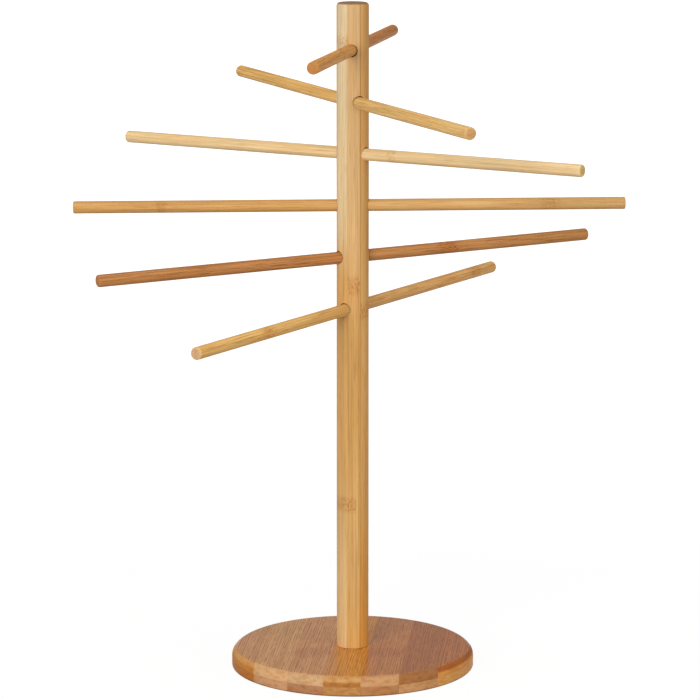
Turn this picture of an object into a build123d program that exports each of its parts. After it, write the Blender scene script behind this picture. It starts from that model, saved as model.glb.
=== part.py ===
import os

from build123d import *

# Pasta drying rack: a round two-ply base, an upright post and six rods pushed through it.
# Millimetres, +Z up, origin on the table under the middle of the post.

# Base, two plies, each turned from a board of slats glued edge to edge
base_diameter = 160
ply_thickness = 6.3
base_edge_round = 6
base_foot_ease = 0.8  # round the lower edge
slats_per_ply = 7
board_spare = 4  # the board is this much wider than the base at each side
slat_turn = -5  # degrees, the slats run a little off the depth direction

# Post, one turned length with a hole across it for each rod
post_diameter = 21
post_length = 425.8
post_top_round = 2.2
post_foot_ease = 0.4

# Rods, listed from the top down
rod_diameter = 8
rod_length = 358
rod_end_round = 1.1
rod_clearance = 0.08  # all round a rod in its hole
top_hole_drop = 30.2  # from the post's top to the first hole's centre
hole_spacing = 33.7
rod_turns = (-98.3, -65.5, -34.8, 0.6, 27.7, 57.5)  # degrees round the post from +X
rod_tilts = (1.4, -0.8, 0.5, 0.4, 0.8, 0.9)  # degrees above level, as each hole was drilled
slide_shares = (-0.042, -0.023, -0.017, -0.006, -0.004, 0.003)  # of the rod's length, off centre

# Countersunk wood screw, from under the base into the post's foot
screw_length = 42
screw_diameter = 4.5
screw_head_diameter = 9
screw_head_rim = 0.5
screw_tip_length = 6
screw_tip_diameter = 1
screw_sink = 0.4  # the head's face is this far above the table
recess_length = 4.6
recess_width = 1.2
recess_depth = 1.8
shank_clearance = 0.25  # in the base
pilot_clearance = 0.05  # in the post
pilot_spare = 3  # past the screw's tip

base_thickness = 2 * ply_thickness
base_radius = base_diameter / 2
slat_width = (base_diameter + 2 * board_spare) / slats_per_ply
post_radius = post_diameter / 2
post_top = base_thickness + post_length
rod_radius = rod_diameter / 2
screw_radius = screw_diameter / 2
screw_head_radius = screw_head_diameter / 2
screw_top = screw_sink + screw_length

os.makedirs("parts", exist_ok=True)

# A plane for each rod, square to the rod, with its origin on the post's axis
rod_planes = []
for number, (turn, tilt) in enumerate(zip(rod_turns, rod_tilts)):
    height = post_top - top_hole_drop - number * hole_spacing
    rod_axis = Vector(1, 0, 0).rotate(Axis.Y, -tilt).rotate(Axis.Z, turn)
    rod_planes.append(Plane(origin=(0, 0, height), z_dir=rod_axis))

# The whole base, rounded over at its upper edge and eased at its lower one, with the screw's
# hole from beneath
with BuildPart() as base_blank:
    with BuildSketch(Plane.XY):
        Circle(base_radius)
    extrude(amount=base_thickness)
    fillet(base_blank.edges().group_by(Axis.Z)[-1], radius=base_edge_round)
    fillet(base_blank.edges().group_by(Axis.Z)[0], radius=base_foot_ease)
    with Locations(Location((0, 0, 0), (180, 0, 0))):
        CounterSinkHole(
            radius=screw_radius + shank_clearance,
            counter_sink_radius=screw_head_radius + screw_head_rim + screw_sink,
            depth=base_thickness,
            counter_sink_angle=90,
        )

# Both plies are cut into the slats that they are glued up from, counted from the left.
for ply, ply_name in enumerate(("bottom", "top")):
    slat_plane = Plane.XY.offset(ply * ply_thickness).rotated((0, 0, slat_turn))
    for number in range(slats_per_ply):
        across = (number - (slats_per_ply - 1) / 2) * slat_width
        with BuildPart() as slat:
            add(base_blank.part)
            with BuildSketch(slat_plane):
                with Locations((across, 0)):
                    Rectangle(slat_width, 2 * base_diameter)
            extrude(amount=ply_thickness, mode=Mode.INTERSECT)
        slat.part.label = f"base_{ply_name}_slat_{number + 1}"
        export_step(slat.part, f"parts/{slat.part.label}.step")

# The post has a hole through it for each rod and a pilot hole up its foot.
with BuildPart() as post:
    with BuildSketch(Plane.XY.offset(base_thickness)):
        Circle(post_radius)
    extrude(amount=post_length)
    fillet(post.edges().group_by(Axis.Z)[-1], radius=post_top_round)
    fillet(post.edges().group_by(Axis.Z)[0], radius=post_foot_ease)
    for rod_plane in rod_planes:
        with BuildSketch(rod_plane):
            Circle(rod_radius + rod_clearance)
        extrude(amount=post_diameter, both=True, mode=Mode.SUBTRACT)
    with BuildSketch(Plane.XY.offset(base_thickness)):
        Circle(screw_radius + pilot_clearance)
    extrude(amount=screw_top - base_thickness + pilot_spare, mode=Mode.SUBTRACT)
post.part.label = "post"
export_step(post.part, "parts/post.step")

# The screw's outline, from the head's face up to the tip, is turned about its axis.
with BuildPart() as post_screw:
    with BuildSketch(Plane.XZ):
        with BuildLine():
            Polyline(
                (0, screw_sink),
                (screw_head_radius, screw_sink),
                (screw_head_radius, screw_sink + screw_head_rim),
                (screw_radius, screw_sink + screw_head_rim + screw_head_radius - screw_radius),
                (screw_radius, screw_top - screw_tip_length),
                (screw_tip_diameter / 2, screw_top),
                (0, screw_top),
                close=True,
            )
        make_face()
    revolve(axis=Axis.Z)
    with BuildSketch(Plane.XY.offset(screw_sink)):
        Rectangle(recess_length, recess_width)
        Rectangle(recess_width, recess_length)
    extrude(amount=recess_depth, mode=Mode.SUBTRACT)
post_screw.part.label = "post_screw"
export_step(post_screw.part, "parts/post_screw.step")

# The rods are plain round sticks with eased ends, each slid a little along its hole.
for number, (rod_plane, slide_share) in enumerate(zip(rod_planes, slide_shares)):
    with BuildPart() as rod:
        with BuildSketch(rod_plane.offset(slide_share * rod_length)):
            Circle(rod_radius)
        extrude(amount=rod_length / 2, both=True)
        fillet(rod.edges().filter_by(GeomType.CIRCLE), radius=rod_end_round)
    rod.part.label = f"rod_{number + 1}"
    export_step(rod.part, f"parts/{rod.part.label}.step")
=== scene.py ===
import math

import bmesh
import bpy
from mathutils import Matrix, Vector, noise


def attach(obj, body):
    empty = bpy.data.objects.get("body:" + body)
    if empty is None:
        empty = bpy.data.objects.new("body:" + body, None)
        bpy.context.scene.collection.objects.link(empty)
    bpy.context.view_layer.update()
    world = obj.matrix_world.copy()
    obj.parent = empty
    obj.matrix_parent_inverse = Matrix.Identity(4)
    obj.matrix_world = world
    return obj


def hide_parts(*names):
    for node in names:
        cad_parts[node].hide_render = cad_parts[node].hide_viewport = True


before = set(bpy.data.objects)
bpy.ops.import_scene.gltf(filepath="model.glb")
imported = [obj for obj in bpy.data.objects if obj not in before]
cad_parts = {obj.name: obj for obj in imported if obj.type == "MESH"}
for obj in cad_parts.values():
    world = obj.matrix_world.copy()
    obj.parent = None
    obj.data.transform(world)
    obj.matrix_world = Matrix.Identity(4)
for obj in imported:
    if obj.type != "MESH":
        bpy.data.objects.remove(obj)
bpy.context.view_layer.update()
scene = bpy.context.scene
print("frame loaded,", len(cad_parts), "CAD pieces")

samePlace = 1e-7  # metres, and nearer than this counts as the same place
smoothBelow = 32  # degrees between two faces, and their edge is sharp above it


studio = {
    "cameraPlace": (0, -2.1698, 0.6128),
    "cameraTilt": 79.524,  # degrees up from straight down
    "cameraTurn": 0.046,
    "lens": 173.7,
    "sensor": 36,
    "clipEnd": 50,
    "lampAim": (0, 0, 0.22),
    "sky": (1.0, 0.99, 0.975),
    "skyStrength": 0.37,
    "floor": (0.4, 0.4, 0.4),
    "floorWhite": 1.2,
    "floorWhiteShares": (0.78, 1.0),  # near the object, where its shadow falls, and far off
    "floorReach": (0.3, 1.6),
    "floorSide": 12,
    "wallRadius": 3.3,
    "wallHeight": 2.35,
    "wallSides": 96,
    "wallGrey": 0.36,
}

# name: where it stands, how wide, watts, whether it shows in reflections
lamps = {
    "leftSoftbox": ((-1.2, -2.8, 1.05), 1.6, 66, True),
    "rightFill": ((2.2, -1.9, 0.65), 1.6, 21, False),
    "topSoftbox": ((0.1, 0.4, 2.3), 1.4, 8, True),
}


def addCamera():
    camera = bpy.data.objects.new("camera", bpy.data.cameras.new("camera"))
    camera.data.lens = studio["lens"]
    camera.data.sensor_width = studio["sensor"]
    camera.data.clip_end = studio["clipEnd"]
    camera.location = studio["cameraPlace"]
    camera.rotation_euler = (math.radians(studio["cameraTilt"]), 0, math.radians(studio["cameraTurn"]))
    scene.collection.objects.link(camera)
    scene.camera = camera


def addLamps():
    for name, (place, width, watts, mirrored) in lamps.items():
        lamp = bpy.data.objects.new(name, bpy.data.lights.new(name, "AREA"))
        lamp.data.shape = "SQUARE"
        lamp.data.size = width
        lamp.data.energy = watts
        lamp.visible_glossy = mirrored
        lamp.location = place
        lamp.rotation_euler = (Vector(studio["lampAim"]) - Vector(place)).to_track_quat("-Z", "Y").to_euler()
        scene.collection.objects.link(lamp)


def seenRays(nodes, links):
    # 1 on rays from the camera, a glossy surface or glass
    path = nodes.new("ShaderNodeLightPath")
    share = path.outputs["Is Camera Ray"]
    for kind in ("Is Glossy Ray", "Is Transmission Ray"):
        either = nodes.new("ShaderNodeMath")
        either.operation = "MAXIMUM"
        links.new(share, either.inputs[0])
        links.new(path.outputs[kind], either.inputs[1])
        share = either.outputs[0]
    return share


def addSky():
    world = bpy.data.worlds.new("studioSky")
    scene.world = world
    world.use_nodes = True
    nodes, links = world.node_tree.nodes, world.node_tree.links
    nodes.clear()
    light = nodes.new("ShaderNodeBackground")
    light.inputs["Color"].default_value = (*studio["sky"], 1)
    light.inputs["Strength"].default_value = studio["skyStrength"]
    white = nodes.new("ShaderNodeBackground")
    white.inputs["Color"].default_value = (1, 1, 1, 1)
    mix = nodes.new("ShaderNodeMixShader")
    links.new(seenRays(nodes, links), mix.inputs[0])
    links.new(light.outputs[0], mix.inputs[1])
    links.new(white.outputs[0], mix.inputs[2])
    output = nodes.new("ShaderNodeOutputWorld")
    links.new(mix.outputs[0], output.inputs["Surface"])


def stageObject(name, bm, materialName):
    # its new material has an empty node tree, which is given back to be filled
    mesh = bpy.data.meshes.new(name)
    bm.to_mesh(mesh)
    bm.free()
    material = bpy.data.materials.new(materialName)
    material.use_nodes = True
    material.node_tree.nodes.clear()
    mesh.materials.append(material)
    thing = bpy.data.objects.new(name, mesh)
    scene.collection.objects.link(thing)
    return thing, material.node_tree.nodes, material.node_tree.links


def addFloor():
    # white to the camera, a little less near the object so that its shadow shows
    bm = bmesh.new()
    bmesh.ops.create_grid(bm, x_segments=1, y_segments=1, size=studio["floorSide"] / 2)
    floor, nodes, links = stageObject("floor", bm, "paleFloor")
    matt = nodes.new("ShaderNodeBsdfDiffuse")
    matt.inputs["Color"].default_value = (*studio["floor"], 1)
    glow = nodes.new("ShaderNodeEmission")
    glow.inputs["Color"].default_value = (1, 1, 1, 1)
    glow.inputs["Strength"].default_value = studio["floorWhite"]
    away = nodes.new("ShaderNodeVectorMath")
    away.operation = "LENGTH"
    links.new(nodes.new("ShaderNodeTexCoord").outputs["Object"], away.inputs[0])
    fade = nodes.new("ShaderNodeMapRange")
    links.new(away.outputs["Value"], fade.inputs["Value"])
    fade.inputs["From Min"].default_value, fade.inputs["From Max"].default_value = studio["floorReach"]
    fade.inputs["To Min"].default_value, fade.inputs["To Max"].default_value = studio["floorWhiteShares"]
    share = nodes.new("ShaderNodeMath")
    share.operation = "MULTIPLY"
    links.new(seenRays(nodes, links), share.inputs[0])
    links.new(fade.outputs["Result"], share.inputs[1])
    mix = nodes.new("ShaderNodeMixShader")
    links.new(share.outputs[0], mix.inputs[0])
    links.new(matt.outputs[0], mix.inputs[1])
    links.new(glow.outputs[0], mix.inputs[2])
    output = nodes.new("ShaderNodeOutputMaterial")
    links.new(mix.outputs[0], output.inputs["Surface"])


def addWall():
    # a grey wall all round shows only in reflections, and keeps the sheen of the lacquer down
    bm = bmesh.new()
    radius, height = studio["wallRadius"], studio["wallHeight"]
    bmesh.ops.create_cone(bm, cap_ends=False, segments=studio["wallSides"], radius1=radius, radius2=radius,
                          depth=height)
    bmesh.ops.translate(bm, verts=bm.verts, vec=(0, 0, height / 2))
    wall, nodes, links = stageObject("greyWall", bm, "greyWall")
    wall.visible_camera = wall.visible_diffuse = wall.visible_transmission = wall.visible_shadow = False
    grey = nodes.new("ShaderNodeEmission")
    grey.inputs["Color"].default_value = (*[studio["wallGrey"]] * 3, 1)
    output = nodes.new("ShaderNodeOutputMaterial")
    links.new(grey.outputs[0], output.inputs["Surface"])


addCamera()
addLamps()
addSky()
addFloor()
addWall()
scene.view_settings.view_transform = "Standard"
print("studio ready")


# for each kind of mark along the grain: its length and width, the detail and roughness of its noise,
# and the levels of the noise between which it comes up
grainMarks = {
    "band": (0.3, 0.0045, 2, 0.5, 0.3, 0.7),
    "patch": (0.045, 0.007, 1, 0.5, 0.5, 0.72),
    "fibre": (0.05, 0.0007, 3, 0.6, 0.38, 0.66),
    "thread": (0.11, None, 1, 0.4, 0.54, 0.66),  # its width comes with the look
    "dash": (0.016, 0.0005, 1, 0.5, 0.56, 0.7),
}

bamboo = {
    "bumpHeight": 0.00006,
    "bumpShares": (0.6, -0.5),  # of the fibres and of the dashes
    "dashRough": 0.12,  # how much rougher a dash is
    "pieceShift": (0, 0.11, 0.07),  # how far a piece's pattern is moved on from that of the one before
    # each part of the grain as a share of the wood's own red, green and blue
    "pale": (1.12, 1.13, 1.16),
    "deep": (0.94, 0.91, 0.86),
    "streak": (0.80, 0.74, 0.66),
    "line": (0.55, 0.45, 0.38),
    "patch": (1.03, 0.86, 0.72),
    "mottle": (0.84, 0.70, 0.56),
    "rib": (0.62, 0.51, 0.38),
}

# noise scales here and below are per metre, along the grain and the two ways across it

# the evenly spaced dark lines of a planed face
ribs = {
    "spacing": 0.0016,
    "drift": (9, 260, 260),
    "driftShare": 2.4,  # how far the lines wander, in spacings
    "edges": (0.08, 0.3),  # half a line's dark and its whole width, in spacings
    "fade": (95, 500, 500),
    "fadeLevels": (0.37, 0.56),
    "faintest": 0.2,
}

# the bands where the cane had its joints, with shares of a band's width
knotBand = {
    "wobble": (60, 420, 420),
    "wobbleShare": 0.6,
    "fadeShares": (0.25, 0.75),
    "flecks": (520, 1500, 1500),
    "fleckLevels": (0.45, 0.58),
    "line": (0.0001, 0.0007),
    "lineStrength": 0.2,
    "stainStrength": 0.6,
    "seeds": (3.1, 2.3),  # move the noise on from one band to the next
    "archWidth": 0.0026,
    "archDrift": (90, 300, 300),
    "archDriftSize": 0.0016,
    "archRow": 0.22,
    "archLine": (0.01, 0.1),
    "archReach": (0.3, 0.7),
}

# cut ends: the dots that the bundles of fibres make, and redder patches
endGrain = {
    "bundleSpacing": 0.0011,
    "dotsAlong": 12,
    "dotLevels": (0.16, 0.42),
    "mottle": (15, 210, 420),
    "mottlePlace": (0, 5, 5),
    "mottleLevels": (0.4, 0.68),
    "facing": (0.35, 0.8),  # how squarely a surface cuts the fibres where it starts and is all end grain
}

# how strongly each part of the grain shows, and the finish, where a piece says nothing else
plainLook = {
    "endDots": 0.5,
    "mottle": 0.3,
    "fibre": 0.5,
    "dash": 0.35,
    "thread": 0.2,
    "threadWidth": 0.0009,
    "patch": 0.4,
    "knot": 0.6,
    "ribs": 0,
    "chevrons": 0,
    "rough": 0.5,
    "coat": 0.02,
    "coatRough": 0.3,
    "specular": 0.06,
    "bump": 0.5,
}


class NodeDesk:
    # short ways to put nodes on one material's tree

    def __init__(self, name):
        self.material = bpy.data.materials.new(name)
        self.material.use_nodes = True
        self.tree = self.material.node_tree
        self.tree.nodes.clear()

    def add(self, kind, **settings):
        node = self.tree.nodes.new(kind)
        for setting, value in settings.items():
            setattr(node, setting, value)
        return node

    def feed(self, socket, value):
        if isinstance(value, bpy.types.NodeSocket):
            self.tree.links.new(value, socket)
        else:
            socket.default_value = value

    def math(self, operation, first, second=0.0):
        node = self.add("ShaderNodeMath", operation=operation)
        self.feed(node.inputs[0], first)
        self.feed(node.inputs[1], second)
        return node.outputs[0]

    def mapping(self, vector, kind="POINT", place=(0, 0, 0), turn=(0, 0, 0), scale=(1, 1, 1)):
        node = self.add("ShaderNodeMapping", vector_type=kind)
        self.feed(node.inputs["Vector"], vector)
        node.inputs["Location"].default_value = place
        node.inputs["Rotation"].default_value = turn
        node.inputs["Scale"].default_value = scale
        return node.outputs[0]

    def objectPlace(self):
        return self.add("ShaderNodeTexCoord").outputs["Object"]

    def split(self, vector):
        node = self.add("ShaderNodeSeparateXYZ")
        self.feed(node.inputs[0], vector)
        return node.outputs

    def noise(self, vector, detail=2.0, roughness=0.5):
        node = self.add("ShaderNodeTexNoise")
        self.feed(node.inputs["Vector"], vector)
        node.inputs["Scale"].default_value = 1
        node.inputs["Detail"].default_value = detail
        node.inputs["Roughness"].default_value = roughness
        return node.outputs["Fac"]

    def spread(self, value, low, high, toLow=0.0, toHigh=1.0):
        node = self.add("ShaderNodeMapRange", interpolation_type="SMOOTHSTEP")
        self.feed(node.inputs["Value"], value)
        node.inputs["From Min"].default_value = low
        node.inputs["From Max"].default_value = high
        node.inputs["To Min"].default_value = toLow
        node.inputs["To Max"].default_value = toHigh
        return node.outputs["Result"]

    def blend(self, share, first, second, kind="MIX"):
        node = self.add("ShaderNodeMix", data_type="RGBA", blend_type=kind)
        self.feed(node.inputs[0], share)
        for socket, value in ((node.inputs[6], first), (node.inputs[7], second)):
            self.feed(socket, value if isinstance(value, bpy.types.NodeSocket) else (*value, 1))
        return node.outputs[2]

    def ramp(self, value, stops):
        node = self.add("ShaderNodeValToRGB")
        self.feed(node.inputs[0], value)
        points = node.color_ramp.elements
        while len(points) < len(stops):
            points.new(0.5)
        for point, (place, colour) in zip(points, stops):
            point.position = place
            point.color = (*colour, 1)
        return node.outputs[0]

    def tint(self, share, colour, shares):
        # turns a colour, as far as share says, into that colour times shares
        return self.blend(share, colour, self.blend(1, colour, shares, "MULTIPLY"))

    def bump(self, height, strength, distance):
        node = self.add("ShaderNodeBump")
        node.inputs["Strength"].default_value = strength
        node.inputs["Distance"].default_value = distance
        self.feed(node.inputs["Height"], height)
        return node.outputs[0]

    def finish(self, shader):
        self.feed(self.add("ShaderNodeOutputMaterial").inputs["Surface"], shader.outputs[0])
        return self.material


def fromScreen(red, green, blue):
    # a colour as it looks on a screen, 0 to 255, made linear
    return tuple(((c / 255 + 0.055) / 1.055) ** 2.4 for c in (red, green, blue))


def fineRibs(desk, grain, strength):
    # the lines wander a little and come and go
    spacing = ribs["spacing"]
    dark, wide = ribs["edges"]
    drift = desk.noise(desk.mapping(grain, scale=ribs["drift"]), 2, 0.5)
    column = desk.math("ADD", desk.split(grain)[1],
                       desk.math("MULTIPLY", drift, spacing * ribs["driftShare"]))
    rib = desk.spread(desk.math("PINGPONG", column, spacing / 2), spacing * dark, spacing * wide, 1, 0)
    fade = desk.noise(desk.mapping(grain, scale=ribs["fade"]), 1, 0.5)
    return desk.math("MULTIPLY", rib, desk.spread(fade, *ribs["fadeLevels"], ribs["faintest"], strength))


def grainPattern(desk, grain, tone, look):
    # the wood's own colour, its height for bump and its dark dashes; the fibres run along X of grain
    def mark(kind, strength=1, width=None):
        long, wide, detail, roughness, low, high = grainMarks[kind]
        across = 1 / (width or wide)
        level = desk.noise(desk.mapping(grain, scale=(1 / long, across, across)), detail, roughness)
        return level, desk.spread(level, low, high, 0, strength)

    fibre, fibres = mark("fibre", look["fibre"])
    dashes = mark("dash")[1]
    colour = desk.blend(mark("band")[1], bamboo["pale"], bamboo["deep"])
    colour = desk.blend(mark("patch", look["patch"])[1], colour, bamboo["patch"])
    colour = desk.blend(fibres, colour, bamboo["streak"])
    colour = desk.blend(mark("thread", look["thread"], look["threadWidth"])[1], colour, bamboo["line"])
    colour = desk.blend(desk.math("MULTIPLY", dashes, look["dash"]), colour, bamboo["line"])
    if look["ribs"]:
        colour = desk.blend(fineRibs(desk, grain, look["ribs"]), colour, bamboo["rib"])
    colour = desk.blend(1, colour, tone, "MULTIPLY")
    high, low = bamboo["bumpShares"]
    height = desk.math("ADD", desk.math("MULTIPLY", fibre, high), desk.math("MULTIPLY", dashes, low))
    return colour, height, dashes


def chevrons(desk, grain, place, width, strength):
    # where the fibres swerve round a joint, each column of them makes a dark pointed arch
    along, across = desk.split(grain)[:2]
    drift = desk.noise(desk.mapping(grain, scale=knotBand["archDrift"]), 1, 0.5)
    column = desk.math("ADD", across, desk.math("MULTIPLY", drift, knotBand["archDriftSize"]))
    arch = desk.math("PINGPONG", column, knotBand["archWidth"] / 2)
    lift = desk.math("MULTIPLY", arch, width / knotBand["archWidth"])
    rise = desk.math("SUBTRACT", desk.math("ADD", along, lift), place)
    rows = desk.math("PINGPONG", rise, width * knotBand["archRow"])
    rows = desk.spread(rows, *[width * share for share in knotBand["archLine"]], 1, 0)
    near = desk.spread(desk.math("ABSOLUTE", rise), *[width * share for share in knotBand["archReach"]], 1, 0)
    return desk.math("MULTIPLY", desk.math("MULTIPLY", rows, near), strength)


def addKnots(desk, grain, colour, knots, look):
    # each band is stained, with short brown flecks and one darker line; a knot may keep to one strip
    along = desk.split(grain)[0]
    for number, (place, width, strip) in enumerate(knots):
        wobbleSeed, fleckSeed = (number * step for step in knotBand["seeds"])
        wobble = desk.noise(desk.mapping(grain, place=(wobbleSeed, 0, 0), scale=knotBand["wobble"]), 2, 0.6)
        shift = desk.math("MULTIPLY", desk.math("SUBTRACT", wobble, 0.5), width * knotBand["wobbleShare"])
        away = desk.math("ABSOLUTE", desk.math("SUBTRACT", desk.math("ADD", along, shift), place))
        band = desk.spread(away, *[width * share for share in knotBand["fadeShares"]], 1, 0)
        flecks = desk.noise(desk.mapping(grain, place=(0, fleckSeed, 0), scale=knotBand["flecks"]), 2, 0.7)
        flecks = desk.math("MULTIPLY", desk.spread(flecks, *knotBand["fleckLevels"]), band)
        line = desk.spread(away, *knotBand["line"], look["knot"] * knotBand["lineStrength"], 0)
        strength = desk.math("MAXIMUM", desk.math("MULTIPLY", flecks, look["knot"]), line)
        stain = desk.math("MULTIPLY", band, look["knot"] * knotBand["stainStrength"])
        if look["chevrons"]:
            strength = desk.math("MAXIMUM", strength, chevrons(desk, grain, place, width, look["chevrons"]))
        if strip is not None:
            strength = desk.math("MULTIPLY", strength, strip)
            stain = desk.math("MULTIPLY", stain, strip)
        colour = desk.tint(stain, colour, bamboo["patch"])
        colour = desk.tint(strength, colour, bamboo["line"])
    return colour


def facingShare(desk, direction, low, high):
    # 0 where the surface faces less than low along a direction, 1 where it faces more than high
    facing = desk.add("ShaderNodeVectorMath", operation="DOT_PRODUCT")
    desk.feed(facing.inputs[0], desk.add("ShaderNodeTexCoord").outputs["Normal"])
    facing.inputs[1].default_value = direction
    return desk.spread(desk.math("ABSOLUTE", facing.outputs["Value"]), low, high)


def addEndGrain(desk, grain, colour, direction, look, facing=endGrain["facing"]):
    # cut ends have their own tone
    cut = facingShare(desk, direction, *facing)
    cells = desk.add("ShaderNodeTexVoronoi", feature="F1", distance="EUCLIDEAN")
    dense = 1 / endGrain["bundleSpacing"]
    desk.feed(cells.inputs["Vector"], desk.mapping(grain, scale=(endGrain["dotsAlong"], dense, dense)))
    cells.inputs["Scale"].default_value = 1
    dots = desk.spread(cells.outputs["Distance"], *endGrain["dotLevels"], look["endDots"], 0)
    mottle = desk.noise(desk.mapping(grain, place=endGrain["mottlePlace"], scale=endGrain["mottle"]), 2, 0.6)
    mottle = desk.spread(mottle, *endGrain["mottleLevels"], 0, look["mottle"])
    end = desk.tint(mottle, look["end"], bamboo["mottle"])
    darker = desk.blend(1, look["end"], bamboo["line"], "MULTIPLY")
    return desk.blend(cut, colour, desk.blend(dots, end, darker))


def finishBamboo(desk, colour, height, dashes, look):
    shader = desk.add("ShaderNodeBsdfPrincipled")
    desk.feed(shader.inputs["Base Color"], colour)
    roughness = desk.spread(dashes, 0, 1, look["rough"], look["rough"] + bamboo["dashRough"])
    desk.feed(shader.inputs["Roughness"], roughness)
    shader.inputs["Coat Weight"].default_value = look["coat"]
    shader.inputs["Coat Roughness"].default_value = look["coatRough"]
    shader.inputs["Specular IOR Level"].default_value = look["specular"]
    desk.feed(shader.inputs["Normal"], desk.bump(height, look["bump"], bamboo["bumpHeight"]))
    return desk.finish(shader)


def bambooLook(end, **more):
    return {**plainLook, "end": fromScreen(*end), **more}


def grainVector(desk, place, turn, seed):
    # runs along the fibres in X, and is moved so that no two pieces share a pattern
    along = desk.mapping(desk.objectPlace(), "TEXTURE", place, turn)
    return desk.mapping(along, place=[seed * shift for shift in bamboo["pieceShift"]])


def makePiece(name, bm, body, node, slotName, *materials):
    bmesh.ops.recalc_face_normals(bm, faces=bm.faces)
    mesh = bpy.data.meshes.new(name)
    bm.to_mesh(mesh)
    bm.free()
    for material in materials:
        mesh.materials.append(material)
    smoothMesh(mesh)
    piece = bpy.data.objects.new(name, mesh)
    scene.collection.objects.link(piece)
    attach(piece, body)
    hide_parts(node)
    return piece


def smoothMesh(mesh):
    for face in mesh.polygons:
        face.use_smooth = True
    mesh.set_sharp_from_angle(angle=math.radians(smoothBelow))


def cutAway(piece, cutterMesh, material=None):
    # takes one shape out of another for good, and may give the cut its own material
    if material:
        cutterMesh.materials.append(material)
    cutter = bpy.data.objects.new("cutter", cutterMesh)
    scene.collection.objects.link(cutter)
    cut = piece.modifiers.new("cut", "BOOLEAN")
    cut.operation = "DIFFERENCE"
    cut.solver = "EXACT"
    cut.use_self = True
    cut.material_mode = "TRANSFER"
    cut.object = cutter
    bpy.context.view_layer.update()
    whole = piece.data
    piece.data = bpy.data.meshes.new_from_object(piece.evaluated_get(bpy.context.evaluated_depsgraph_get()))
    piece.modifiers.clear()
    bpy.data.objects.remove(cutter)
    bpy.data.meshes.remove(cutterMesh)
    name = whole.name
    bpy.data.meshes.remove(whole)
    piece.data.name = name
    smoothMesh(piece.data)


def roundOff(bm, geom, size, segments, affect="EDGES", **more):
    bmesh.ops.bevel(bm, geom=geom, offset=size, offset_type="OFFSET", segments=segments, profile=0.5,
                    affect=affect, material=-1, **more)


def drawOutline(places, closed):
    # a line in the plane y = 0 through places, each a distance from the axis and a height
    bm = bmesh.new()
    corners = [bm.verts.new((across, 0, height)) for across, height in places]
    for number in range(0 if closed else 1, len(corners)):
        bm.edges.new((corners[number - 1], corners[number]))
    return bm, corners


def turnOutline(bm, sides):
    bmesh.ops.spin(bm, geom=bm.verts[:] + bm.edges[:], axis=(0, 0, 1), cent=(0, 0, 0), dvec=(0, 0, 0),
                   angle=2 * math.pi, steps=sides, use_merge=True, use_normal_flip=False, use_duplicate=False)


def roundStick(radius, length, sides, lowRound, highRound, rings, roundSegments=5):
    # a stick about Z, from z = 0 up, with both rims rounded and rings along it to shape it by
    bm = bmesh.new()
    bmesh.ops.create_cone(bm, cap_ends=True, cap_tris=False, segments=sides, radius1=radius, radius2=radius,
                          depth=length)
    bmesh.ops.translate(bm, verts=bm.verts, vec=(0, 0, length / 2))
    for height, size in ((0, lowRound), (length, highRound)):
        rim = [e for e in bm.edges if all(abs(v.co.z - height) < samePlace for v in e.verts)]
        roundOff(bm, rim, size, roundSegments)
    tall = [e for e in bm.edges if abs(e.verts[0].co.z - e.verts[1].co.z) > length / 2]
    bmesh.ops.subdivide_edges(bm, edges=tall, cuts=rings, use_grid_fill=True)
    return bm


# waves round and along a stick, the strength of the short ones, and how far all of them reach
handWork = {
    "longWaves": (1.4, 9),
    "shortWaves": (3.5, 30),
    "shortShare": 0.5,
    "reach": 0.6,
}


def handWorked(bm, depth, seed):
    # shallow flats and waves that cutting and sanding leave, always inwards
    (longRound, longAlong), (shortRound, shortAlong) = handWork["longWaves"], handWork["shortWaves"]
    for vert in bm.verts:
        flat = vert.co.xy
        way = flat.normalized()
        waves = noise.noise(Vector((way.x * longRound + seed, way.y * longRound, vert.co.z * longAlong)))
        waves += handWork["shortShare"] * noise.noise(
            Vector((way.x * shortRound, way.y * shortRound + seed, vert.co.z * shortAlong)))
        vert.co.xy = flat - way * depth * min(1, max(0, 0.5 + handWork["reach"] * waves))


def layStick(height, turn, tilt, slide):
    # takes a stick from about Z to its rod's line, with its low end slid along it from the post's axis
    line = Matrix.Rotation(turn, 4, "Z") @ Matrix.Rotation(-tilt, 4, "Y")
    stick = Matrix.Translation((slide, 0, 0)) @ Matrix.Rotation(math.pi / 2, 4, "Y")
    return Matrix.Translation((0, 0, height)) @ line @ stick


rods = {
    "radius": 0.004,
    "length": 0.358,
    "endRound": 0.0011,
    "sides": 48,
    "rings": 110,
    "unevenness": 0.00006,
    "seedStep": 7.3,
    "toneChange": (-0.05, 0.05),  # where along it the tone of one half turns into the other's
    "paleRim": (0.5, 0.85),  # shares of its radius where the cut end gets paler
    "paleFacing": (0.2, 0.7),
    "threadWidth": 0.0006,
    # how strongly each part of the grain shows on an unstreaked rod, and how much more on a streaked one
    "streaking": {
        "fibre": (0.4, 0.6),
        "dash": (0.2, 0.6),
        "thread": (0.2, 0.5),
        "patch": (0.3, 0.5),
        "knot": (0.22, 0.5),
    },
}

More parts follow.
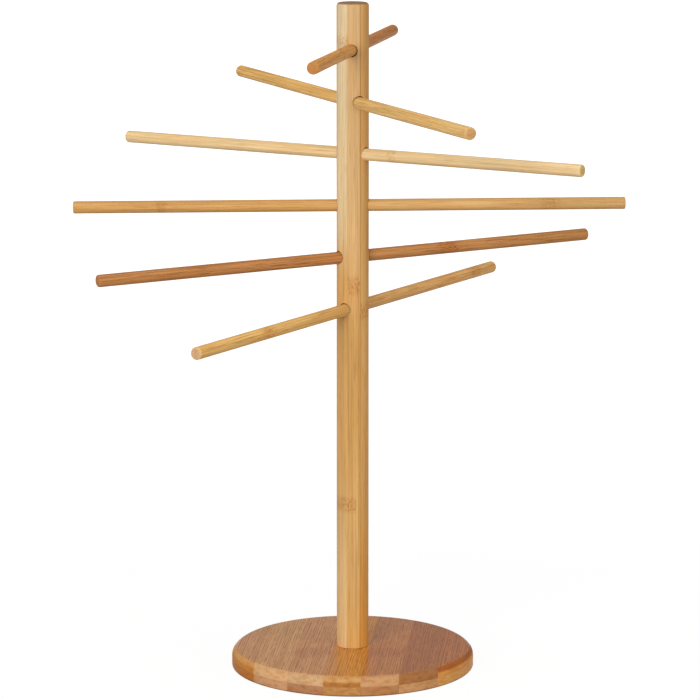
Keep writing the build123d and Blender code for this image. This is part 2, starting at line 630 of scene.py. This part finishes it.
# for each rod from the top down: height, degrees round from +X, degrees above level, how far along its
# own line its middle is, its slot, the colours of its two halves and its end, how strongly it is
# streaked, the place and width of each of its knots
rodList = (
    (0.4082, -98.3, 1.4, -0.015036, "bamboo_red",
     (213, 145, 79), (235, 171, 93), (186, 128, 70), 0.8, ((0.062, 0.006),)),
    (0.3745, -65.5, -0.8, -0.008234, "bamboo_golden",
     (246, 197, 119), (244, 203, 133), (207, 162, 107), 0.8, ()),
    (0.3408, -34.8, 0.5, -0.006086, "bamboo_pale",
     (245, 214, 161), (237, 207, 156), (224, 192, 126), 0.3, ((0.032, 0.006),)),
    (0.3071, 0.6, 0.4, -0.002148, "bamboo_golden",
     (211, 161, 97), (216, 173, 113), (214, 170, 110), 0.4, ((0.128, 0.012), (-0.124, 0.006))),
    (0.2734, 27.7, 0.8, -0.001432, "bamboo_red",
     (195, 136, 82), (200, 143, 88), (182, 122, 74), 1.2, ((0.0694, 0.015),)),
    (0.2397, 57.5, 0.9, 0.001074, "bamboo_brown",
     (248, 199, 122), (246, 193, 123), (210, 169, 125), 0.8, ((0.152, 0.014), (-0.102, 0.014))),
)


def rodMaterial(number, height, turn, tilt, near, far, end, streaks, knots):
    desk = NodeDesk(f"rodBamboo{number}")
    grain = grainVector(desk, (0, 0, height), (0, -tilt, turn), number)
    place = desk.mapping(desk.objectPlace(), "TEXTURE", (0, 0, height), (0, -tilt, turn))
    half = desk.spread(desk.split(place)[0], *rods["toneChange"])
    tone = desk.blend(half, fromScreen(*near), fromScreen(*far))
    strengths = {part: least + more * streaks for part, (least, more) in rods["streaking"].items()}
    look = bambooLook(end, threadWidth=rods["threadWidth"], **strengths)
    colour, relief, dashes = grainPattern(desk, grain, tone, look)
    colour = addKnots(desk, grain, colour, [(*knot, None) for knot in knots], look)
    direction = Matrix.Rotation(turn, 3, "Z") @ Matrix.Rotation(-tilt, 3, "Y") @ Vector((1, 0, 0))
    colour = addEndGrain(desk, grain, colour, direction, look)
    # the cut end is made paler towards its rim
    outward = desk.add("ShaderNodeVectorMath", operation="LENGTH")
    desk.feed(outward.inputs[0], desk.mapping(place, scale=(0, 1, 1)))
    rim = desk.spread(outward.outputs["Value"], *[rods["radius"] * share for share in rods["paleRim"]])
    rim = desk.math("MULTIPLY", rim, facingShare(desk, direction, *rods["paleFacing"]))
    colour = desk.tint(rim, colour, bamboo["pale"])
    return finishBamboo(desk, colour, relief, dashes, look)


def makeRods():
    for number, (height, turn, tilt, slide, slotName, *colouring) in enumerate(rodList, 1):
        turn, tilt = math.radians(turn), math.radians(tilt)
        bm = roundStick(rods["radius"], rods["length"], rods["sides"], rods["endRound"], rods["endRound"],
                        rods["rings"])
        handWorked(bm, rods["unevenness"], number * rods["seedStep"])
        lay = layStick(height, turn, tilt, slide - rods["length"] / 2)
        bmesh.ops.transform(bm, matrix=lay, verts=bm.verts)
        material = rodMaterial(number, height, turn, tilt, *colouring)
        makePiece(f"roundRod{number}", bm, f"rod_{number}", f"rod_{number}", slotName, material)


makeRods()
print("rods made")


post = {
    "radius": 0.0105,
    "foot": 0.0126,
    "length": 0.4258,
    "topRound": 0.0022,
    "footRound": 0.0004,
    "sides": 112,
    "rings": 90,
    "unevenness": 0.00005,
    "seed": 3.1,
    "glueLines": (-0.0031, 0.0049),
    "glueDarkness": (0.25, 0.7),
    "glueWidth": (0.0001, 0.0003),
    "softGlue": (-0.0016, 0.0005),  # how far round the left glue line its two tones blend
    "grainSteps": (0.31, 0.57),  # how far the left and right strips' grain is moved along
    # height, width and strip of each knot
    "knots": ((0.413, 0.009, "left"), (0.110, 0.009, "both"),
              (0.2555, 0.011, "middle"), (0.239, 0.01, "right")),
    "knotReach": 0.0024,  # how far across the knot on both left strips reaches
    "end": (150, 112, 78),
    "endFacing": (0.3, 0.9),
    "look": {"fibre": 0.5, "dash": 0.34, "thread": 0.32, "threadWidth": 0.0006, "knot": 0.6},
}

holes = {
    "radius": 0.00408,
    "length": 0.03,
    "sides": 40,
    "rings": 60,
    "endRound": 0.0004,
    "mouth": (0.006, 0.0035),  # how far from the middle a hole starts to widen, and over what length
    "tear": 0.00014,  # how much wider the drill tore its mouths
    "roughness": (1500, 0.03),  # how fine the tearing is, and how uneven as a share of the radius
    "seedStep": 5,
    # which way each hole is worn, sideways along +X and up
    "wear": ((0.8, -0.8), (-0.4, 1.0), (0, 0.9), (0, 0), (0.6, 0.8), (0.5, 0.9)),
    "wearSize": 0.0004,
    "screw": (0.0023, 0.05, 0.0454),  # the radius and length of the screw's cutter, and how high it reaches
    "screwSides": 24,
}

# end grain in the holes, darkened nearly to black as painted shade for the shade inside them
holeShade = {
    "colours": ((70, 42, 24), (36, 22, 14)),
    "grain": (900, 900, 2200),
    "levels": (0.35, 0.65),
    "rough": 0.85,
    "specular": 0.1,
    "bump": (0.6, 0.0001),
}

# colours up the post, each as a height and a screen colour, for the left, middle and right strip
stripColours = (
    ((0, (224, 189, 134)), (0.06, (225, 189, 133)), (0.09, (217, 179, 123)), (0.13, (217, 171, 107)),
     (0.26, (219, 171, 106)), (0.29, (231, 201, 152)), (0.315, (236, 211, 165)), (0.44, (232, 209, 169))),
    ((0, (214, 164, 96)), (0.06, (216, 171, 107)), (0.1, (217, 172, 108)), (0.16, (211, 164, 98)),
     (0.22, (211, 164, 99)), (0.25, (217, 170, 107)), (0.29, (221, 181, 126)), (0.44, (218, 181, 130))),
    ((0, (222, 160, 78)), (0.06, (221, 162, 84)), (0.12, (228, 176, 107)), (0.25, (228, 177, 108)),
     (0.3, (220, 171, 105)), (0.44, (215, 165, 101))),
)


def drilledHoles():
    bm = bmesh.new()
    start, run = holes["mouth"]
    fineness, unevenness = holes["roughness"]
    for number, ((height, turn, tilt, *others), wear) in enumerate(zip(rodList, holes["wear"])):
        turn, tilt = math.radians(turn), math.radians(tilt)
        hole = roundStick(holes["radius"], holes["length"], holes["sides"], holes["endRound"],
                          holes["endRound"], holes["rings"])
        lay = layStick(height, turn, tilt, -holes["length"] / 2)
        side = 1 if math.sin(turn) <= 0 else -1
        away = Vector((-math.sin(turn), math.cos(turn), 0)) * side * wear[0] + Vector((0, 0, wear[1]))
        away = lay.to_3x3().inverted() @ away * holes["wearSize"]
        for vert in hole.verts:  # worn and torn only where the drill went in and came out
            mouth = min(1, max(0, (abs(vert.co.z - holes["length"] / 2) - start) / run))
            rough = noise.noise(vert.co * fineness + Vector((number * holes["seedStep"], 0, 0)))
            vert.co.xy *= 1 + mouth * (holes["tear"] / holes["radius"] + unevenness * rough)
            vert.co.xy += away.xy * mouth
        bmesh.ops.transform(hole, matrix=lay, verts=hole.verts)
        part = bpy.data.meshes.new("hole")
        hole.to_mesh(part)
        hole.free()
        bm.from_mesh(part)
        bpy.data.meshes.remove(part)
    radius, length, top = holes["screw"]
    made = bmesh.ops.create_cone(bm, cap_ends=True, cap_tris=False, segments=holes["screwSides"],
                                 radius1=radius, radius2=radius, depth=length)
    bmesh.ops.translate(bm, verts=made["verts"], vec=(0, 0, top - length / 2))
    bmesh.ops.recalc_face_normals(bm, faces=bm.faces)
    mesh = bpy.data.meshes.new("holes")
    bm.to_mesh(mesh)
    bm.free()
    return mesh


def postMaterial():
    desk = NodeDesk("postBamboo")
    look = bambooLook(post["end"], **post["look"])
    place = desk.split(desk.objectPlace())
    across = place[0]
    left, right = post["glueLines"]
    inLeft = desk.math("LESS_THAN", across, left)
    inRight = desk.math("GREATER_THAN", across, right)
    # each strip is moved along so that the grain doesn't run on over a glue line
    leftStep, rightStep = post["grainSteps"]
    step = desk.math("ADD", desk.math("MULTIPLY", inLeft, leftStep),
                     desk.math("MULTIPLY", inRight, rightStep))
    shift = desk.add("ShaderNodeCombineXYZ")
    desk.feed(shift.inputs[1], step)
    moved = desk.add("ShaderNodeVectorMath", operation="ADD")
    desk.feed(moved.inputs[0], desk.mapping(desk.objectPlace(), "TEXTURE", turn=(0, -math.pi / 2, 0)))
    desk.feed(moved.inputs[1], shift.outputs[0])
    grain = moved.outputs[0]
    top = stripColours[0][-1][0]
    share = desk.math("DIVIDE", place[2], top)
    tones = [desk.ramp(share, [(height / top, fromScreen(*colour)) for height, colour in stops])
             for stops in stripColours]
    low, high = post["softGlue"]
    tone = desk.blend(desk.spread(across, left + low, left + high, 1, 0), tones[1], tones[0])
    tone = desk.blend(inRight, tone, tones[2])
    colour, relief, dashes = grainPattern(desk, grain, tone, look)
    strips = {
        "left": inLeft,
        "middle": desk.math("SUBTRACT", desk.math("SUBTRACT", 1, inLeft), inRight),
        "right": inRight,
        "both": desk.math("LESS_THAN", across, post["knotReach"]),
    }
    colour = addKnots(desk, grain, colour, [(*knot, strips[strip]) for *knot, strip in post["knots"]], look)
    for line, darkness in zip(post["glueLines"], post["glueDarkness"]):
        away = desk.math("ABSOLUTE", desk.math("SUBTRACT", across, line))
        colour = desk.tint(desk.spread(away, *post["glueWidth"], darkness, 0), colour, bamboo["line"])
    colour = addEndGrain(desk, grain, colour, (0, 0, 1), look, post["endFacing"])
    return finishBamboo(desk, colour, relief, dashes, look)


def holeShadeWood():
    # the end grain in the holes is darkened as painted shade, standing in for the shade that falls in them
    desk = NodeDesk("holeShadeBamboo")
    shader = desk.add("ShaderNodeBsdfPrincipled")
    grain = desk.noise(desk.mapping(desk.objectPlace(), scale=holeShade["grain"]), 3, 0.6)
    pale, dark = holeShade["colours"]
    colour = desk.blend(desk.spread(grain, *holeShade["levels"]), fromScreen(*pale), fromScreen(*dark))
    desk.feed(shader.inputs["Base Color"], colour)
    shader.inputs["Roughness"].default_value = holeShade["rough"]
    shader.inputs["Specular IOR Level"].default_value = holeShade["specular"]
    desk.feed(shader.inputs["Normal"], desk.bump(grain, *holeShade["bump"]))
    return desk.finish(shader)


def makePost():
    bm = roundStick(post["radius"], post["length"], post["sides"], post["footRound"], post["topRound"],
                    post["rings"])
    handWorked(bm, post["unevenness"], post["seed"])
    bmesh.ops.translate(bm, verts=bm.verts, vec=(0, 0, post["foot"]))
    piece = makePiece("turnedPost", bm, "stand", "post", "bamboo_pale", postMaterial())
    # the holes' walls take the dark material, which is painted shade
    cutAway(piece, drilledHoles(), holeShadeWood())


makePost()
print("post made")


base = {
    "radius": 0.08,
    "thickness": 0.0126,
    "ply": 0.0063,
    "edgeRound": 0.006,
    "edgeSegments": 24,
    "footRound": 0.0008,
    "footSegments": 3,
    "sides": 288,
    "slats": 7,
    "slatWidth": 0.024,
    "slatTurn": -5,
    "seam": 0.00015,  # how far the edges of two slats are eased where they meet
    "onJoint": 1e-6,  # how near a joint's plane an edge counts as lying in it
    "seamAngle": 1,  # radians between the two faces at an edge, and below it nothing is eased
    "screwHole": 0.0025,
    "screwSink": 0.0054,
    "screwSinkDepth": 0.0029,
    "knotWidth": 0.016,
    "seeds": {"bottom": 20, "top": 40},
    "endFacing": (0.25, 0.6),
    # the top's lacquer is polished where it faces this way more than this, and not down its side
    "polishedWay": (0, 0.6, 0.8),
    "polished": 0.6,
    "polishedUp": 0.3,
    "rimHeights": (0.0084, 0.0102),  # where a top slat's own tone turns into that of its rim
    "footShadeHeights": (0.0006, 0.0013),  # where the painted contact shade along the lower edge fades out
    "footShade": 0.8,
    "matt": {"knot": 0.45, "fibre": 0.55, "dash": 0.4, "patch": 0.7, "mottle": 0.9, "endDots": 0.3,
             "chevrons": 0.6, "coat": 0.06, "coatRough": 0.35},
    "lacquered": {"fibre": 0.55, "dash": 0.52, "thread": 0.28, "ribs": 1, "coat": 0.65, "coatRough": 0.07,
                  "knot": 0.2, "chevrons": 1},
}

# for each slat from the left: slot, its colour, the places of its knots, and for a top slat the
# colours of its lacquered face and, where it differs, of its rim
slatLists = {
    "bottom": (
        ("bamboo_golden", (190, 118, 44), ()),
        ("bamboo_golden", (211, 160, 116), (0.03,)),
        ("bamboo_brown", (184, 131, 92), ()),
        ("bamboo_golden", (196, 143, 86), (-0.045,)),
        ("bamboo_brown", (188, 133, 85), ()),
        ("bamboo_golden", (210, 158, 106), (0.05,)),
        ("bamboo_golden", (235, 173, 97), ()),
    ),
    "top": (
        ("bamboo_golden", (200, 132, 55), (), (221, 160, 106), (217, 160, 92)),
        ("bamboo_pale", (221, 175, 126), (), (227, 169, 108)),
        ("bamboo_pale", (211, 170, 125), (-0.0177,), (220, 157, 99)),
        ("bamboo_brown", (176, 116, 56), (), (227, 154, 72), (212, 160, 100)),
        ("bamboo_pale", (207, 157, 110), (-0.0135,), (211, 139, 77)),
        ("bamboo_dark", (171, 116, 69), (), (188, 116, 56)),
        ("bamboo_golden", (224, 156, 80), (), (196, 120, 60), (176, 103, 48)),
    ),
}


def slatMaterial(name, tone, look, knots, seed, rimTone=None):
    desk = NodeDesk(name)
    turn = math.radians(90 + base["slatTurn"])
    grain = grainVector(desk, (0, 0, 0), (0, 0, turn), seed)
    tone = fromScreen(*tone)
    level = desk.split(desk.objectPlace())[2]
    if rimTone:
        tone = look["end"] = desk.blend(desk.spread(level, *base["rimHeights"]), tone, fromScreen(*rimTone))
    colour, relief, dashes = grainPattern(desk, grain, tone, look)
    colour = addKnots(desk, grain, colour, [(place, base["knotWidth"], None) for place in knots], look)
    colour = addEndGrain(desk, grain, colour, (math.cos(turn), math.sin(turn), 0), look, base["endFacing"])
    # painted shade: the lowest millimetre of the edge is darkened, standing in for the contact shadow on the
    # floor
    paintedFootShade = desk.spread(level, *base["footShadeHeights"], base["footShade"], 0)
    colour = desk.tint(paintedFootShade, colour, bamboo["line"])
    return finishBamboo(desk, colour, relief, dashes, look)


def slatMaterials(ply, number, tone, knots, faceTone=None, rimTone=None):
    # the first is for the matt edge and underside, the second for a top slat's polished face
    seed = base["seeds"][ply] + number
    matt, lacquered = bambooLook(tone, **base["matt"]), bambooLook(tone, **base["lacquered"])
    materials = [slatMaterial(f"{ply}Slat{number}", tone, matt, knots, seed, rimTone)]
    if faceTone:
        materials.append(slatMaterial(f"{ply}SlatFace{number}", faceTone, lacquered, knots, seed))
    return materials


def roundBlank():
    # the outline of a ring round the screw hole gets its two outer corners rounded and is then turned
    top, wide, hole = base["thickness"], base["radius"], base["screwHole"]
    outline = ((hole, top), (wide, top), (wide, 0), (base["screwSink"], 0), (hole, base["screwSinkDepth"]))
    bm, corners = drawOutline(outline, closed=True)
    roundOff(bm, [corners[1]], base["edgeRound"], base["edgeSegments"], affect="VERTICES")
    roundOff(bm, [corners[2]], base["footRound"], base["footSegments"], affect="VERTICES")
    turnOutline(bm, base["sides"])
    bmesh.ops.recalc_face_normals(bm, faces=bm.faces)
    return bm


def sliceOff(bm, place, outwards, ring=False):
    # everything past a plane goes, and the cut is closed, which is a ring where the screw hole passes
    cut = bmesh.ops.bisect_plane(bm, geom=bm.verts[:] + bm.edges[:] + bm.faces[:], dist=samePlace,
                                 plane_co=place, plane_no=outwards, clear_outer=True, clear_inner=False)
    edges = [e for e in cut["geom_cut"] if isinstance(e, bmesh.types.BMEdge)]
    if ring:
        bmesh.ops.triangle_fill(bm, edges=edges, use_beauty=True, use_dissolve=True, normal=outwards)
    else:
        bmesh.ops.edgeloop_fill(bm, edges=edges)


def easeJoints(bm, across, middle):
    # a hairline shows between two slats, on the face and down the rounded edge
    bm.normal_update()
    seams = []
    for edge in bm.edges:
        aways = [abs(abs(vert.co.dot(across) - middle) - base["slatWidth"] / 2) for vert in edge.verts]
        if max(aways) < base["onJoint"] and edge.calc_face_angle(0) > base["seamAngle"]:
            seams.append(edge)
    roundOff(bm, seams, base["seam"], 1, clamp_overlap=True)


def makeSlats():
    turn = math.radians(base["slatTurn"])
    across = Vector((math.cos(turn), math.sin(turn), 0))
    blank = roundBlank()
    for ply, slats in slatLists.items():
        for number, (slotName, *tones) in enumerate(slats, 1):
            bm = blank.copy()
            middle = (number - (base["slats"] + 1) / 2) * base["slatWidth"]
            for side in (-1, 1):
                joint = middle + side * base["slatWidth"] / 2
                if abs(joint) < base["radius"]:
                    sliceOff(bm, across * joint, across * side)
            sliceOff(bm, (0, 0, base["ply"]), (0, 0, 1 if ply == "bottom" else -1), ring=middle == 0)
            easeJoints(bm, across, middle)
            bm.normal_update()
            for face in bm.faces:
                turned = face.normal.dot(base["polishedWay"]) > base["polished"]
                if ply == "top" and turned and face.normal.z > base["polishedUp"]:
                    face.material_index = 1
            makePiece(f"{ply}Slat{number}", bm, "stand", f"base_{ply}_slat_{number}", slotName,
                      *slatMaterials(ply, number, *tones))
    blank.free()


makeSlats()
print("base made")


screw = {
    "sink": 0.0004,
    "length": 0.042,
    "headRadius": 0.0045,
    "headRim": 0.0005,
    "rimRound": 0.00015,
    "shankRadius": 0.00225,
    "smoothShank": 0.014,
    "coreRadius": 0.00155,
    "coreTaper": 0.0008,  # the length over which the smooth shank narrows to the core
    "tip": 0.006,
    "sides": 48,
    "pitch": 0.0018,
    "threadStart": 0.0006,  # above the smooth shank
    "threadWidth": 0.0009,
    "threadInset": (0.0002, 0.00005),  # how far its foot is in the core, its crest within the shank
    "threadSides": 20,
    "recess": (0.0046, 0.0012, 0.0018),  # across, blade thickness, depth
    "recessNarrowing": 0.45,
    "colours": ((206, 202, 192), (186, 180, 166)),
    "specks": (1800, 1800, 600),
    "colourLevels": (0.35, 0.7),
    "roughLevels": (0.3, 0.7),
    "rough": (0.24, 0.42),
}


def screwSteel():
    desk = NodeDesk("screwSteel")
    shader = desk.add("ShaderNodeBsdfPrincipled")
    speck = desk.noise(desk.mapping(desk.objectPlace(), scale=screw["specks"]), 3, 0.6)
    bright, dull = screw["colours"]
    colour = desk.blend(desk.spread(speck, *screw["colourLevels"]), fromScreen(*bright), fromScreen(*dull))
    desk.feed(shader.inputs["Base Color"], colour)
    desk.feed(shader.inputs["Roughness"], desk.spread(speck, *screw["roughLevels"], *screw["rough"]))
    shader.inputs["Metallic"].default_value = 1
    return desk.finish(shader)


def screwBody():
    head, shank, core = screw["headRadius"], screw["shankRadius"], screw["coreRadius"]
    low, high = screw["sink"], screw["sink"] + screw["length"]
    neck, smooth = low + screw["headRim"] + head - shank, low + screw["smoothShank"]
    outline = ((0, low), (head, low), (head, low + screw["headRim"]), (shank, neck), (shank, smooth),
               (core, smooth + screw["coreTaper"]), (core, high - screw["tip"]), (0, high))
    bm = drawOutline(outline, closed=False)[0]
    turnOutline(bm, screw["sides"])
    bmesh.ops.remove_doubles(bm, verts=bm.verts, dist=samePlace)
    bmesh.ops.recalc_face_normals(bm, faces=bm.faces)
    rim = [e for e in bm.edges if all(v.co.xy.length > head - screw["rimRound"] for v in e.verts)
           and abs(e.verts[0].co.z - e.verts[1].co.z) < samePlace]
    roundOff(bm, rim, screw["rimRound"], 2)
    return bm


def addThread(bm):
    # a three-sided ridge is wound up the core, with a face at each end
    start = screw["sink"] + screw["smoothShank"] + screw["threadStart"]
    turns = int((screw["length"] - screw["smoothShank"] - screw["tip"]) / screw["pitch"])
    foot, crest = screw["threadInset"]
    inner, outer = screw["coreRadius"] - foot, screw["shankRadius"] - crest
    wide = screw["threadWidth"]
    ridge = ((inner, 0, start), (outer, 0, start + wide / 2), (inner, 0, start + wide))
    corners = [bm.verts.new(place) for place in ridge]
    sides = [bm.edges.new((corners[number - 1], corners[number])) for number in range(3)]
    first = bm.faces.new(corners)
    steps = turns * screw["threadSides"]
    bmesh.ops.spin(bm, geom=corners + sides + [first], axis=(0, 0, 1), cent=(0, 0, 0),
                   dvec=(0, 0, screw["pitch"] * turns / steps), angle=2 * math.pi * turns, steps=steps,
                   use_merge=False, use_normal_flip=False, use_duplicate=False)


def crossRecess():
    bm = bmesh.new()
    across, thick, depth = screw["recess"]
    for wide, narrow in ((across, thick), (thick, across)):
        blade = bmesh.ops.create_cube(bm, size=1)["verts"]
        bmesh.ops.scale(bm, verts=blade, vec=(wide, narrow, depth * 2))
        for vert in blade:  # the blades narrow towards the bottom of the recess
            if vert.co.z > 0:
                vert.co.xy *= screw["recessNarrowing"]
        bmesh.ops.translate(bm, verts=blade, vec=(0, 0, screw["sink"]))
    bmesh.ops.recalc_face_normals(bm, faces=bm.faces)
    mesh = bpy.data.meshes.new("recess")
    bm.to_mesh(mesh)
    bm.free()
    return mesh


def makeScrew():
    bm = screwBody()
    addThread(bm)
    piece = makePiece("woodScrew", bm, "stand", "post_screw", "screw_steel", screwSteel())
    cutAway(piece, crossRecess())


makeScrew()
print("screw made")
